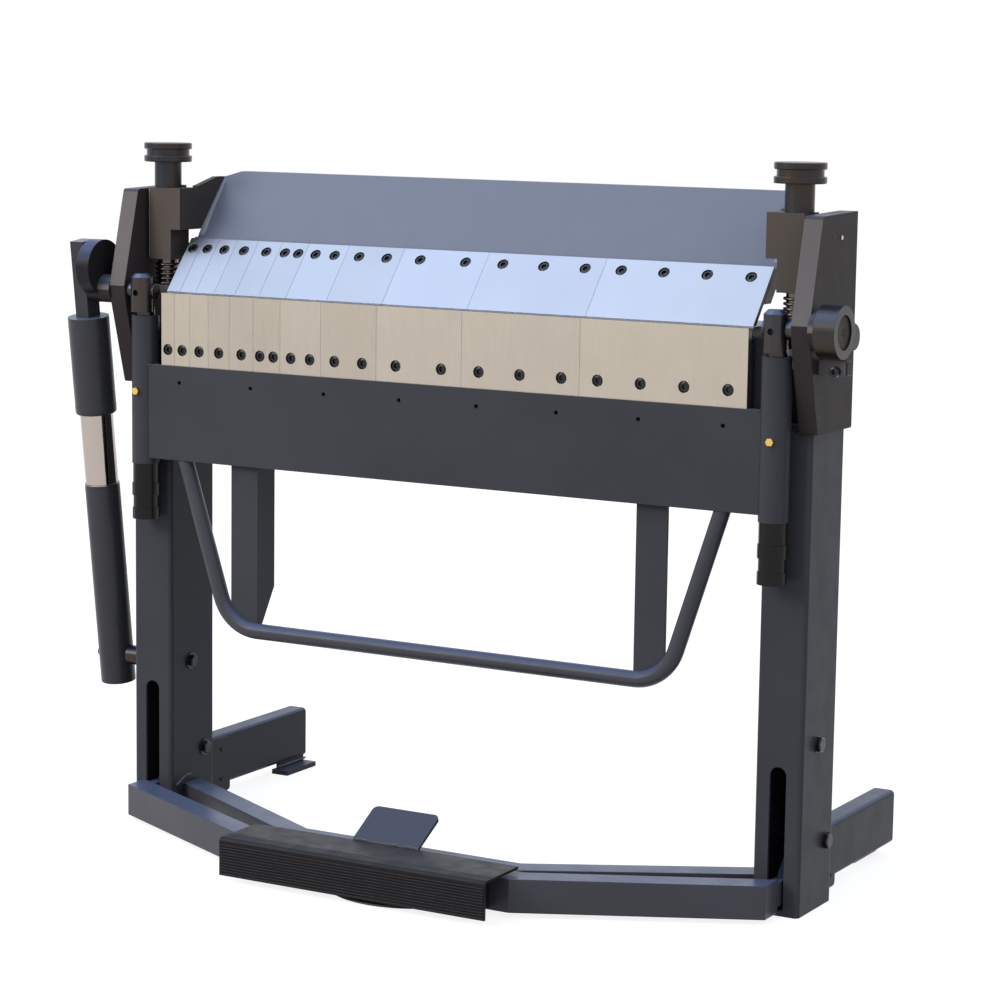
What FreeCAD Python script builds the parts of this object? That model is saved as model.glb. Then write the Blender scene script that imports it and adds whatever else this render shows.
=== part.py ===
import FreeCAD, Part
import math
import os

os.makedirs("parts", exist_ok=True)

V = FreeCAD.Vector

# Units are millimetres, +Z up, +X along the bending edge, -Y towards the operator.
# The shapes are drawn from the middle of the bend line, dropped to the floor.
# The whole machine is then moved so the middle of its footprint is the origin.
shiftX = 25.0
shiftY = -92.0

# Bend line and blades
benchZ = 861.0
hingeY = -5.0
segmentWidths = [25, 30, 35, 40, 45, 50, 75, 100, 150, 200, 270]
workWidth = float(sum(segmentWidths))
halfWork = workWidth / 2
bladeSplit = 0.3
bedBladeThick = 18.0
bedBladeDepth = 110.0
bedBladeFront = -1.7
clampGap = 1.0
upperNoseY = -3.0
upperBladeRun = 67.8
upperBladeRise = 81.5
upperBladeThick = 8.0
upperScrewPlace = 0.81
foldBladeHeight = 114.5
foldBladeThick = 11.0
foldBladeFront = -17.7
foldBladeDrop = 1.0
foldScrewDrop = 25.0
bladeHoleR = 5.5
bladeHoleSinkR = 9.0

# Folding beam
apronProud = 2.0
apronBottom = 595.0
apronReach = 35.0
apronHalf = halfWork + apronReach
apronHolePitch = 135.5
apronHoleR = 3.4
apronHoleDrop = 26.7
backingThick = 9.0
tubeInset = 5.0
tubeX = apronHalf + tubeInset
tubeR = 22.0
tubeTop = 822.0
tubeBottom = 585.0
pivotBarR = 15.0
pivotHeadR = 17.5
pivotHeadForward = 10.0
pivotHeadGap = 6.0
pivotHeadBottom = tubeTop + pivotHeadGap
pivotHeadHeight = 61.0
pivotHeadTop = pivotHeadBottom + pivotHeadHeight
pivotHeadChamfer = 6.0
pivotEndR = 12.0
pivotEndReach = 21.5
pivotBarBottom = 508.0
tommyHoleR = 5.0
tommyHoleDrop = 2.5
tommyHoleDepth = 9.0
runningFit = 0.05
nutRadii = [20.5, 22.0, 20.0, 21.5]
nutEdges = [553.0, 533.0, 513.0, 495.0]
strutInner = 333.0
strutFlange = 50.0
strutReach = 48.0
strutThick = 6.0
strutTop = 627.0
strutWebBottom = 342.0
strutChamferZ = 398.0
strutChamferY = 14.0
handleR = 12.5
handleY = -6.5
handleBarZ = 332.0
handleTopX = 471.0
handleLowX = 386.0
handleBendR = 71.0

# Side plates, legs and feet
sideGap = 27.5
sideInner = tubeX + sideGap
sideThick = 28.5
sideTop = 1020.5
sideTopRise = 3.5
sideBottom = 711.0
sideTopFront = 14.0
sideTopCorner = 6.0
sideKneeFront = -24.5
sideKneeZ = 868.0
sideLowFront = 15.0
sideRear = 138.5
sideCorner = 3.0
sideNutR = 22.0
sideNutThick = 14.0
sideNutY = 108.0
sideNutZ = 845.0
legOverlap = 57.0
legInner = sideInner - legOverlap
legWidth = 74.0
legOuter = legInner + legWidth
legFront = 22.0
legRear = 144.0
legWall = 5.0
legCorner = 7.5
slotHalf = 13.0
slotTop = 222.0
slotBottom = 8.0
footInset = 13.5
footInner = legInner + footInset
footWidth = 38.0
footOuter = footInner + footWidth
footBottom = 17.0
footTop = 101.5
footEnd = 444.0
footWall = 4.0
footCorner = 7.0
footCheekThick = 2.0
footCheekEnd = 207.0
footCheekDrop = 12.0
footCheekCorner = 7.0
padReach = 7.5
padInner = legInner - padReach
padWidth = 32.0
padFront = 354.0
padThick = 8.0

# Bed beam
bedFront = 9.0
bedRear = 160.0
bedBottom = 640.0
bedWall = 14.0
bedNoseHeight = 90.0
bedNoseDepth = 60.0
bedRearDrop = 60.0
bedLegGap = 0.5
bedHalf = legInner - bedLegGap
bedLugFront = 90.0
bedLugBottom = 716.0

# Upper beam
beamBottom = 891.0
beamRearBottom = 912.0
beamPlateLowY = 81.0
beamPlateLowZ = 943.0
beamPlateTopY = 166.0
beamPlateTopZ = 1048.0
beamRear = 200.0
beamWall = 12.0
beamShoulder = 30.0
beamSoleRear = 56.5
beamHeelY = 71.0
beamHeelZ = 909.0
beamFaceY = 75.6
beamFaceZ = 945.0
beamCornerWide = 28.0
beamCornerDrop = 9.0
blockGap = 8.5
blockOuter = sideInner - blockGap
blockFront = 33.0
blockRear = 83.0
blockBottom = 957.0
blockTop = 1023.0
neckWidth = 41.0
neckInner = blockOuter - neckWidth
neckBottom = 909.0
cheekThick = 10.0
cheekLowY = 94.5
cheekLowZ = 1028.4
cheekMidY = 120.0
cheekMidZ = 1035.0
cheekTopFront = 137.0
cheekTopRear = 158.0
cheekTop = 1039.3
cheekRear = 165.0
cheekRearTop = 1030.0
knobInset = 19.0
knobX = blockOuter - knobInset
knobY = 57.0
knobR = 38.0
knobFlange = 10.0
knobChamfer = 1.2
knobWaistR = 34.0
knobStemLength = 41.0
knobBottom = blockTop + knobStemLength
knobHeight = 30.0
knobTop = knobBottom + knobHeight
knobStemR = 21.5
spindleR = 10.0
springR = 20.0
springWire = 4.5
springPitch = 7.5
seatFront = 36.0
seatTop = 868.0
seatThick = 16.0
spindleTail = 24.0

# Turning stop on the right, crank and balance cylinder on the left
bossR = 28.0
bossLength = 12.0
leftBossR = 22.5
stopCollarR = 38.0
stopCollarReach = 45.0
stopCollarEnd = sideInner + sideThick + stopCollarReach
stopRecessR = 25.0
stopRecessDepth = 3.0
shaftEnd = stopCollarEnd - stopRecessDepth - 0.5
stopBlockReach = 43.0
stopBlockFront = 12.0
stopBlockDepth = 20.0
stopBlockTop = 819.5
stopBlockHeight = 22.0
stopBlockCorner = 3.0
crankGap = 23.0
crankInner = sideInner + sideThick + crankGap
crankThick = 24.0
crankOuter = crankInner + crankThick
crankPinY = -10.0
crankPinZ = 894.0
crankR = 45.0
balanceGap = 14.5
balanceX = crankOuter + balanceGap
linkPinY = 71.5
linkPinZ = 248.0
lowerSleeveR = 28.2
lowerSleeveStart = -46.5
chromeR = 26.8
upperSleeveR = 33.4
lowerSleeveEnd = 293.0
chromeEnd = 470.0
upperSleeveStart = 413.0
upperSleeveEnd = 570.0
upperBoreEnd = 533.0
linkWidth = 25.0
linkDepth = 31.0
linkEnd = 694.0
balancePinR = 8.0
spacerR = 16.0

# Treadle and fixed cross tube
treadleInset = 27.5
treadleEndX = legOuter - treadleInset
treadleBendX = 235.0
treadleEndFront = -33.0
treadleBendFront = -198.0
treadleTube = 50.0
treadleDepth = 40.0
treadleBottom = 8.0
treadlePivotY = 115.0
treadlePivotZ = 98.0
treadleArm = 18.0
treadlePinR = 8.0
stepHalf = 230.0
stepFront = -260.0
stepBack = -161.0
stepTop = 68.0
stepThick = 4.0
stepNose = 6.0
stepBottom = 10.0
tongueInner = -55.0
tongueOuter = 60.0
tongueThick = 5.0
tongueRear = -96.0
tongueTop = 107.0
crossTube = 40.0
crossBottom = 8.0
crossEndY = 80.0
crossBendX = 190.0
crossBendY = -125.0
discX = 27.0
discY = -118.0
discR = 131.0
discThick = 3.0
discStemR = 20.0


def box(x0, x1, y0, y1, z0, z1):
    return Part.makeBox(x1 - x0, y1 - y0, z1 - z0, V(x0, y0, z0))


def cylX(x0, x1, y, z, r):
    return Part.makeCylinder(r, x1 - x0, V(x0, y, z), V(1, 0, 0))


def cylY(y0, y1, x, z, r):
    return Part.makeCylinder(r, y1 - y0, V(x, y0, z), V(0, 1, 0))


def cylZ(z0, z1, x, y, r):
    return Part.makeCylinder(r, z1 - z0, V(x, y, z0), V(0, 0, 1))


def prismX(points, x0, x1):
    # A closed outline of (y, z) points, drawn out along X.
    wire = Part.makePolygon([V(x0, y, z) for y, z in points + points[:1]])
    return Part.Face(wire).extrude(V(x1 - x0, 0, 0))


def prismZ(points, z0, z1):
    # A closed outline of (x, y) points, drawn out along Z.
    wire = Part.makePolygon([V(x, y, z0) for x, y in points + points[:1]])
    return Part.Face(wire).extrude(V(0, 0, z1 - z0))


def mirrored(shape):
    return shape.mirror(V(0, 0, 0), V(1, 0, 0))


def segments():
    # The left and right end of each blade, narrow ones first.
    edge = -halfWork
    spans = []
    for width in segmentWidths:
        spans.append((edge + bladeSplit / 2, edge + width - bladeSplit / 2))
        edge += width
    return spans


def screwPlaces(width):
    # Screw positions along a blade, from its left end.
    if width < 50:
        return [width / 2]
    if width == 50:
        return [12.5, 37.5]
    if width == 75:
        return [20, 55]
    if width == 100:
        return [25, 75]
    if width == 150:
        return [35, 115]
    if width == 200:
        return [30, 100, 170]
    return [30, 100, 170, 240]


def bedBlades():
    top = benchZ
    back = bedBladeFront + bedBladeDepth
    outline = [(bedBladeFront, top), (bedBladeFront, top - 12), (bedBladeFront + 6, top - bedBladeThick)]
    outline += [(back, top - bedBladeThick), (back, top)]
    return Part.makeCompound([prismX(outline, left, right) for left, right in segments()])


def bladeSlope():
    # Unit direction up the sloping face of the upper blades, as (y, z).
    length = math.hypot(upperBladeRun, upperBladeRise)
    return upperBladeRun / length, upperBladeRise / length


def upperBladeOutline():
    z0 = benchZ + clampGap
    alongY, alongZ = bladeSlope()
    topY = upperNoseY + upperBladeRun
    topZ = z0 + upperBladeRise
    rearLow = (upperNoseY + upperBladeThick / alongZ, z0)
    rearTop = (topY + upperBladeThick * alongZ, topZ - upperBladeThick * alongY)
    return [(upperNoseY, z0), rearLow, rearTop, (topY, topZ)]


def upperBlades():
    alongY, alongZ = bladeSlope()
    rowY = upperNoseY + upperBladeRun * upperScrewPlace
    rowZ = benchZ + clampGap + upperBladeRise * upperScrewPlace
    outward = V(0, -alongZ, alongY)
    blades = []
    for index, (left, right) in enumerate(segments()):
        blade = prismX(upperBladeOutline(), left, right)
        for place in screwPlaces(segmentWidths[index]):
            base = V(left - bladeSplit / 2 + place, rowY, rowZ)
            hole = Part.makeCylinder(bladeHoleR, 40, base - outward * 30, outward)
            sink = Part.makeCylinder(bladeHoleSinkR, 20, base - outward * 5, outward)
            blade = blade.cut(hole).cut(sink)
        blades.append(blade)
    return Part.makeCompound(blades)


def foldBladeBack():
    return foldBladeFront + foldBladeThick


def foldBladeLedge():
    return benchZ - foldBladeDrop - foldBladeHeight


def foldBlades():
    top = benchZ - foldBladeDrop
    rowZ = foldBladeLedge() + foldScrewDrop
    blades = []
    for index, (left, right) in enumerate(segments()):
        blade = box(left, right, foldBladeFront, foldBladeBack(), foldBladeLedge(), top)
        for place in screwPlaces(segmentWidths[index]):
            x = left - bladeSplit / 2 + place
            hole = cylY(foldBladeFront - 1, foldBladeBack() + 1, x, rowZ, bladeHoleR)
            sink = cylY(foldBladeFront - 1, foldBladeFront + 6, x, rowZ, bladeHoleSinkR)
            blade = blade.cut(hole).cut(sink)
        blades.append(blade)
    return Part.makeCompound(blades)


def apron():
    back = foldBladeBack()
    ledge = foldBladeLedge()
    plate = box(-apronHalf, apronHalf, foldBladeFront - apronProud, back, apronBottom, ledge)
    backing = box(-halfWork, halfWork, back, back + backingThick, ledge - 60, benchZ - 26)
    body = plate.fuse(backing)
    count = 8
    for index in range(count):
        x = (index - (count - 1) / 2) * apronHolePitch
        front = foldBladeFront - apronProud
        body = body.cut(cylY(front - 1, front + 11, x, ledge - apronHoleDrop, apronHoleR))
    for side in (-1, 1):
        body = body.cut(cylZ(apronBottom - 1, benchZ, side * tubeX, hingeY, tubeR))
    return body.removeSplitter()


def endTube():
    tube = cylZ(tubeBottom, tubeTop, tubeX, hingeY, tubeR)
    bore = cylZ(tubeBottom - 1, tubeTop + 1, tubeX, hingeY, pivotBarR + runningFit)
    return tube.cut(bore)


def pivotPin(outerEnd):
    # The bar stands upright in the end tube, the head sits a little forward of it,
    # and the pin turns in the side plate and ends just inside the head.
    headY = hingeY - pivotHeadForward
    bar = cylZ(pivotBarBottom, pivotHeadBottom + 8, tubeX, hingeY, pivotBarR)
    head = cylZ(pivotHeadBottom, pivotHeadTop, tubeX, headY, pivotHeadR)
    head = head.makeChamfer(pivotHeadChamfer, [head.Edges[0]])
    pin = cylX(tubeX, outerEnd, hingeY, benchZ, pivotBarR)
    inner = cylX(tubeX - pivotEndReach, tubeX, hingeY, benchZ, pivotEndR)
    body = bar.fuse(head).fuse(pin).fuse(inner)
    front = headY - pivotHeadR
    hole = cylY(front - 1, front + tommyHoleDepth, tubeX, benchZ - tommyHoleDrop, tommyHoleR)
    return body.cut(hole).removeSplitter()


def adjustingNuts():
    low = tubeBottom
    body = None
    for radius, edge in zip(nutRadii, nutEdges):
        ring = cylZ(edge, low, tubeX, hingeY, radius)
        body = ring if body is None else body.fuse(ring)
        low = edge
    bore = cylZ(pivotBarBottom - 0.3, tubeBottom + 1, tubeX, hingeY, pivotBarR + runningFit)
    return body.cut(bore)


def strut():
    front = foldBladeBack()
    rear = front + strutReach
    z0 = handleBarZ
    flange = box(strutInner, strutInner + strutFlange, front, front + strutThick, z0, strutTop)
    web = [(front, strutTop), (rear, strutTop), (rear, strutChamferZ)]
    web += [(front + strutChamferY, strutWebBottom), (front, strutWebBottom)]
    plate = prismX(web, strutInner, strutInner + strutThick)
    return flange.fuse(plate).cut(handleBar()).removeSplitter().Solids[0]


def bentBar(points, radius, bendR):
    # A round bar along straight runs joined by arcs.
    edges = []
    start = points[0]
    for index in range(1, len(points) - 1):
        corner = points[index]
        before = (points[index - 1] - corner).normalize()
        after = (points[index + 1] - corner).normalize()
        half = before.getAngle(after) / 2
        reach = bendR / math.tan(half)
        inwards = (before + after).normalize()
        middle = corner + inwards * (bendR / math.sin(half) - bendR)
        first = corner + before * reach
        last = corner + after * reach
        edges.append(Part.makeLine(start, first))
        edges.append(Part.Arc(first, middle, last).toShape())
        start = last
    edges.append(Part.makeLine(start, points[-1]))
    path = Part.Wire(edges)
    circle = Part.Wire([Part.makeCircle(radius, points[0], points[1] - points[0])])
    return path.makePipeShell([circle], True, True)


def handleBar():
    path = [V(-handleTopX, handleY, apronBottom), V(-handleLowX, handleY, handleBarZ)]
    path += [V(handleLowX, handleY, handleBarZ), V(handleTopX, handleY, apronBottom)]
    first = path[0] + (path[0] - path[1]).normalize() * 10
    last = path[3] + (path[3] - path[2]).normalize() * 10
    bar = bentBar([first, path[1], path[2], last], handleR, handleBendR)
    over = box(-apronHalf, apronHalf, handleY - 30, handleY + 30, apronBottom, apronBottom + 40)
    return bar.cut(over).Solids[0]


def sidePlate():
    outline = [(sideTopFront, sideTop), (sideKneeFront, sideKneeZ), (sideKneeFront + 4, sideKneeZ - 28)]
    outline += [(sideLowFront, sideBottom), (sideRear, sideBottom), (sideRear, sideTop + sideTopRise)]
    plate = prismX(outline, sideInner, sideInner + sideThick)
    across = [e for e in plate.Edges if abs(e.Length - sideThick) < 0.01]
    low = [e for e in across if e.CenterOfMass.z < sideBottom + 1]
    plate = plate.makeFillet(sideCorner, low)
    across = [e for e in plate.Edges if abs(e.Length - sideThick) < 0.01]
    top = [e for e in across if e.CenterOfMass.z > sideTop - 1 and e.CenterOfMass.y < sideTopFront + 1]
    plate = plate.makeFillet(sideTopCorner, top)
    bore = cylX(sideInner - 1, sideInner + sideThick + 1, hingeY, benchZ, pivotBarR + runningFit)
    return plate.cut(bore)


def sideNut():
    # A large hexagon nut on the outer face of the side plate, close to its rear edge.
    x0 = sideInner + sideThick
    corners = []
    for index in range(6):
        turn = math.radians(60 * index)
        corners.append((sideNutY + sideNutR * math.cos(turn), sideNutZ + sideNutR * math.sin(turn)))
    nut = prismX(corners, x0, x0 + sideNutThick)
    cone = Part.makeCone(sideNutR + 10, sideNutR - 3.5, sideNutThick, V(x0, sideNutY, sideNutZ), V(1, 0, 0))
    return nut.common(cone)


def bossRing(length, radius):
    x0 = sideInner + sideThick
    ring = cylX(x0, x0 + length, hingeY, benchZ, radius)
    return ring.cut(cylX(x0 - 1, x0 + length + 1, hingeY, benchZ, pivotBarR + runningFit))


def leg():
    outer = box(legInner, legOuter, legFront, legRear, 0, sideBottom)
    edges = [e for e in outer.Edges if abs(e.Length - sideBottom) < 0.1]
    outer = outer.makeFillet(legCorner, edges)
    inside = box(legInner + legWall, legOuter - legWall, legFront + legWall, legRear - legWall, 6, sideBottom - 6)
    slotX = (legInner + legOuter) / 2
    slot = box(slotX - slotHalf, slotX + slotHalf, legFront - 1, legFront + legWall + 1, slotBottom,
               slotTop - slotHalf)
    slot = slot.fuse(cylY(legFront - 1, legFront + legWall + 1, slotX, slotTop - slotHalf, slotHalf))
    bore = cylX(legInner - 1, legOuter + 1, treadlePivotY, treadlePivotZ, treadlePinR + runningFit)
    return outer.cut(inside).cut(slot).cut(bore)


def treadlePin():
    return cylX(legInner - 8, legOuter + 8, treadlePivotY, treadlePivotZ, treadlePinR)


def rearFoot():
    tube = box(footInner, footOuter, legRear, footEnd, footBottom, footTop)
    length = footEnd - legRear
    edges = [e for e in tube.Edges if abs(e.Length - length) < 0.1]
    tube = tube.makeFillet(footCorner, edges)
    inside = box(footInner + footWall, footOuter - footWall, legRear + 8, footEnd - footWall,
                 footBottom + footWall, footTop - footWall)
    body = tube.cut(inside)
    for x0 in (footInner - footCheekThick, footOuter):
        cheek = box(x0, x0 + footCheekThick, legRear, footCheekEnd, footBottom - footCheekDrop, footTop - 4)
        ends = [e for e in cheek.Edges if e.BoundBox.XLength > 1 and e.CenterOfMass.y > footCheekEnd - 1]
        body = body.fuse(cheek.makeFillet(footCheekCorner, ends))
    padOuter = padInner + padWidth
    pad = box(padInner, padOuter, padFront, footEnd, 0, padThick)
    packing = box(footInner + 2, padOuter - 1, padFront + 12, footEnd - 4, padThick, footBottom + 3)
    return body.fuse(pad).fuse(packing).removeSplitter()


def bedBeam():
    bladeRear = bedBladeFront + bedBladeDepth
    outline = [(bedFront, benchZ - bedBladeThick), (bedFront, bedBottom + bedNoseHeight)]
    outline += [(bedFront + bedNoseDepth, bedBottom), (bedRear, bedBottom), (bedRear, benchZ - bedRearDrop)]
    outline += [(bladeRear, benchZ - bedBladeThick)]
    body = prismX(outline, -bedHalf, bedHalf)
    t = bedWall
    inner = [(bedFront + t, benchZ - bedBladeThick - t), (bedFront + t, bedBottom + bedNoseHeight + 4)]
    inner += [(bedFront + bedNoseDepth + 4, bedBottom + t), (bedRear - t, bedBottom + t)]
    inner += [(bedRear - t, benchZ - bedRearDrop - 6)]
    inner += [(bladeRear - 6, benchZ - bedBladeThick - t)]
    body = body.cut(prismX(inner, -bedHalf + t, bedHalf - t))
    for side in (-1, 1):
        x0, x1 = sorted((side * bedHalf, side * sideInner))
        body = body.fuse(box(x0, x1, bedLugFront, sideRear - 6, bedLugBottom, benchZ - bedRearDrop - 6))
    return body.removeSplitter()


def upperBeam():
    outline = upperBladeOutline()
    rearLow = outline[1]
    rearTop = outline[2]
    alongY, alongZ = bladeSlope()
    noseRear = (rearLow[0] + (beamBottom - rearLow[1]) * alongY / alongZ, beamBottom)
    low = (beamPlateLowY, beamPlateLowZ)
    shape = [rearTop, noseRear, (beamSoleRear, beamBottom), (beamHeelY, beamHeelZ)]
    shape += [(beamHeelY + 5, beamRearBottom)]
    shape += [(beamRear - 10, beamRearBottom), (beamRear, beamRearBottom + 10), (beamRear, beamPlateTopZ - beamShoulder)]
    shape += [(beamPlateTopY + 16, beamPlateTopZ), (beamPlateTopY, beamPlateTopZ), low]
    shape += [(beamFaceY, beamFaceZ)]
    body = prismX(shape, -halfWork, halfWork)
    t = beamWall
    inner = [(beamPlateLowY + 3, beamRearBottom + t), (beamRear - t, beamRearBottom + t)]
    inner += [(beamRear - t, beamPlateTopZ - beamShoulder - 4)]
    inner += [(beamPlateTopY + 4, beamPlateTopZ - t - 2), (low[0] + 8, low[1] - 10)]
    body = body.cut(prismX(inner, -halfWork + t, halfWork - t))
    for side in (-1, 1):
        corner = [V(side * halfWork, 0, beamPlateTopZ - beamCornerDrop)]
        corner += [V(side * (halfWork - beamCornerWide), 0, beamPlateTopZ)]
        corner += [V(side * (halfWork + 5), 0, beamPlateTopZ + 5)]
        wedge = Part.Face(Part.makePolygon(corner + corner[:1])).extrude(V(0, beamRear * 2, 0))
        body = body.cut(wedge)
    return body.removeSplitter()


def endBlock():
    block = box(halfWork, blockOuter, blockFront, blockRear, blockBottom, blockTop)
    neck = box(neckInner, blockOuter, blockFront, blockRear, neckBottom, blockBottom)
    outline = [(blockRear - 1, blockBottom), (blockRear - 1, blockTop + 2.5), (cheekLowY, cheekLowZ)]
    outline += [(cheekMidY, cheekMidZ), (cheekTopFront, cheekTop), (cheekTopRear, cheekTop)]
    outline += [(cheekRear, cheekRearTop), (cheekRear, blockBottom)]
    cheek = prismX(outline, halfWork, halfWork + cheekThick)
    body = block.fuse(neck).fuse(cheek)
    bore = cylZ(neckBottom - 1, blockTop + 1, knobX, knobY, spindleR + runningFit)
    return body.cut(bore).removeSplitter()


def knob():
    low = cylZ(knobBottom, knobBottom + knobFlange, knobX, knobY, knobR)
    low = low.makeChamfer(knobChamfer, [e for e in low.Edges if e.Closed])
    waist = cylZ(knobBottom + knobFlange, knobTop - knobFlange, knobX, knobY, knobWaistR)
    high = cylZ(knobTop - knobFlange, knobTop, knobX, knobY, knobR)
    high = high.makeChamfer(knobChamfer, [e for e in high.Edges if e.Closed])
    stem = cylZ(blockTop, knobBottom, knobX, knobY, knobStemR)
    spindle = cylZ(seatTop - seatThick - spindleTail, blockTop, knobX, knobY, spindleR)
    return low.fuse(waist).fuse(high).fuse(stem).fuse(spindle).removeSplitter()


def springSeat():
    seat = box(neckInner - 4, sideInner, seatFront, blockRear, seatTop - seatThick, seatTop)
    return seat.cut(cylZ(seatTop - seatThick - 1, seatTop + 1, knobX, knobY, spindleR + 0.6))


def spring():
    turns = []
    z = seatTop + springWire / 2
    while z < neckBottom - springWire / 2:
        turns.append(Part.makeTorus(springR - springWire / 2, springWire / 2, V(knobX, knobY, z)))
        z += springPitch
    sleeve = cylZ(seatTop, neckBottom, knobX, knobY, springR - springWire + 0.4)
    sleeve = sleeve.cut(cylZ(seatTop, neckBottom, knobX, knobY, springR - springWire - 1.6))
    for turn in turns:
        sleeve = sleeve.fuse(turn)
    return sleeve


def stopCollar():
    x0 = sideInner + sideThick + bossLength + 0.3
    ring = cylX(x0, stopCollarEnd, hingeY, benchZ, stopCollarR)
    ring = ring.cut(cylX(stopCollarEnd - stopRecessDepth, stopCollarEnd + 1, hingeY, benchZ, stopRecessR))
    return ring.cut(cylX(x0 - 1, stopCollarEnd + 1, hingeY, benchZ, pivotBarR + runningFit))


def stopBlock():
    # A block on the outer face of the side plate, under the collar.
    x0 = sideInner + sideThick
    block = box(x0, x0 + stopBlockReach, stopBlockFront, stopBlockFront + stopBlockDepth,
                stopBlockTop - stopBlockHeight, stopBlockTop)
    edges = [e for e in block.Edges if e.CenterOfMass.x > x0 + stopBlockReach - 1]
    return block.makeFillet(stopBlockCorner, edges)


def crank():
    hub = cylX(-crankOuter, -crankInner, hingeY, benchZ, leftBossR)
    wheel = cylX(-crankOuter, -crankInner, hingeY - 1, crankPinZ, crankR)
    body = hub.fuse(wheel).removeSplitter()
    return body.cut(cylX(-crankOuter - 1, -crankInner + 1, hingeY, benchZ, pivotBarR + runningFit))


def balanceDirection():
    return V(0, crankPinY - linkPinY, crankPinZ - linkPinZ).normalize()


def alongBalance(s0, s1, radius):
    # A round length on the cylinder's axis, measured up from its lower pin.
    direction = balanceDirection()
    base = V(-balanceX, linkPinY, linkPinZ) + direction * s0
    return Part.makeCylinder(radius, s1 - s0, base, direction)


def balanceLower():
    body = alongBalance(lowerSleeveStart, lowerSleeveEnd, lowerSleeveR)
    body = body.makeFillet(14, [e for e in body.Edges if e.BoundBox.ZMax < linkPinZ])
    body = body.fuse(alongBalance(lowerSleeveEnd, chromeEnd, chromeR))
    pinHole = cylX(-balanceX - 60, -balanceX + 60, linkPinY, linkPinZ, balancePinR + runningFit)
    return body.removeSplitter().cut(pinHole)


def balanceUpper():
    sleeve = alongBalance(upperSleeveStart, upperSleeveEnd, upperSleeveR)
    sleeve = sleeve.cut(alongBalance(upperSleeveStart - 1, upperBoreEnd, chromeR + 0.3))
    z = balanceDirection()
    angle = math.degrees(math.atan2(-z.y, z.z))
    length = linkEnd - upperSleeveEnd + 10
    bar = Part.makeBox(linkWidth, linkDepth, length, V(-linkWidth / 2, -linkDepth / 2, 0))
    bar.rotate(V(0, 0, 0), V(1, 0, 0), angle)
    bar.translate(V(-balanceX, linkPinY, linkPinZ) + z * (upperSleeveEnd - 10))
    pin = cylX(-balanceX, -crankOuter - 0.3, crankPinY, crankPinZ, 9)
    return sleeve.fuse(bar).fuse(pin).removeSplitter()


def balancePin():
    inner = -balanceX + lowerSleeveR + 1
    pin = cylX(-balanceX - lowerSleeveR - 4, -legOuter, linkPinY, linkPinZ, balancePinR)
    return pin.fuse(cylX(inner, -legOuter, linkPinY, linkPinZ, spacerR))


def bowPoints(endX, endY, bendX, bendY, depth):
    # The outline of a bent flat run seen from above, end to end, with a constant depth.
    front = [(-endX, endY), (-bendX, bendY), (bendX, bendY), (endX, endY)]
    back = [(x, y + depth) for x, y in reversed(front)]
    return front + back


def treadle():
    z0 = treadleBottom
    z1 = treadleBottom + treadleTube
    slope = (treadleEndFront - treadleBendFront) / (treadleEndX - treadleBendX)
    depth = treadleDepth * math.sqrt(1 + slope * slope)
    outline = bowPoints(treadleEndX, treadleEndFront, treadleBendX, treadleBendFront, depth)
    body = prismZ(outline, z0, z1)
    armX = (legInner + legOuter) / 2
    arm = [(-6, z0 + 8), (-6, z1 - 6), (legFront + 26, z1 - 6), (treadlePivotY - 12, treadlePivotZ + 14)]
    arm += [(treadlePivotY + 10, treadlePivotZ + 14), (treadlePivotY + 16, treadlePivotZ)]
    arm += [(treadlePivotY + 10, treadlePivotZ - 18), (legFront + 40, z0 + 8)]
    for side in (-1, 1):
        plate = prismX(arm, side * armX - treadleArm / 2, side * armX + treadleArm / 2)
        body = body.fuse(plate)
    hole = cylX(-legOuter, legOuter, treadlePivotY, treadlePivotZ, treadlePinR + runningFit)
    return body.cut(hole).removeSplitter()


def step():
    top = box(-stepHalf, stepHalf, stepFront, stepBack, stepTop - stepThick, stepTop)
    front = box(-stepHalf, stepHalf, stepFront, stepFront + stepThick, stepBottom, stepTop)
    body = top.fuse(front).removeSplitter()
    nose = [e for e in body.Edges if e.BoundBox.YLength < 0.01 and e.BoundBox.ZLength < 0.01
            and e.CenterOfMass.y < stepFront + 0.01 and e.CenterOfMass.z > stepTop - 0.01]
    body = body.makeFillet(stepNose, nose)
    for x in (-stepHalf + 30, 0, stepHalf - 30):
        rib = box(x - 3, x + 3, stepFront + 1, treadleBendFront, treadleBottom + 4, stepTop - stepThick + 1)
        body = body.fuse(rib)
    packing = box(-stepHalf + 40, stepHalf - 40, treadleBendFront + 6, treadleBendFront + 30,
                  treadleBottom + treadleTube, stepTop - 1)
    return body.fuse(packing).removeSplitter()


def tongue():
    # A plate that stands on the treadle tube against the step and leans back.
    t = tongueThick
    foot = stepBack
    base = treadleBottom + treadleTube
    outline = [(foot, base), (foot + t, base), (foot + t, stepTop), (tongueRear, tongueTop - t)]
    outline += [(tongueRear - 2.3, tongueTop), (foot, stepTop + 2)]
    plate = prismX(outline, tongueInner, tongueOuter)
    edges = [e for e in plate.Edges if e.BoundBox.YMin > tongueRear - 4 and e.BoundBox.XLength < 0.01]
    return plate.makeFillet(9, edges)


def crossTubeBody():
    depth = crossTube * 1.13
    outline = bowPoints(legInner, crossEndY - depth / 2, crossBendX, crossBendY, depth)
    return prismZ(outline, crossBottom, crossBottom + crossTube)


def floorDisc():
    disc = cylZ(0, discThick, discX, discY, discR)
    stem = cylZ(discThick, crossBottom, discX, crossBendY + crossTube / 2, discStemR)
    return disc.fuse(stem).removeSplitter()


def save(name, shape):
    moved = shape.copy()
    moved.translate(V(shiftX, shiftY, 0))
    moved.exportStep("parts/" + name + ".step")


def saveBoth(name, shape):
    save("right_" + name, shape)
    save("left_" + name, mirrored(shape))


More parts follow.
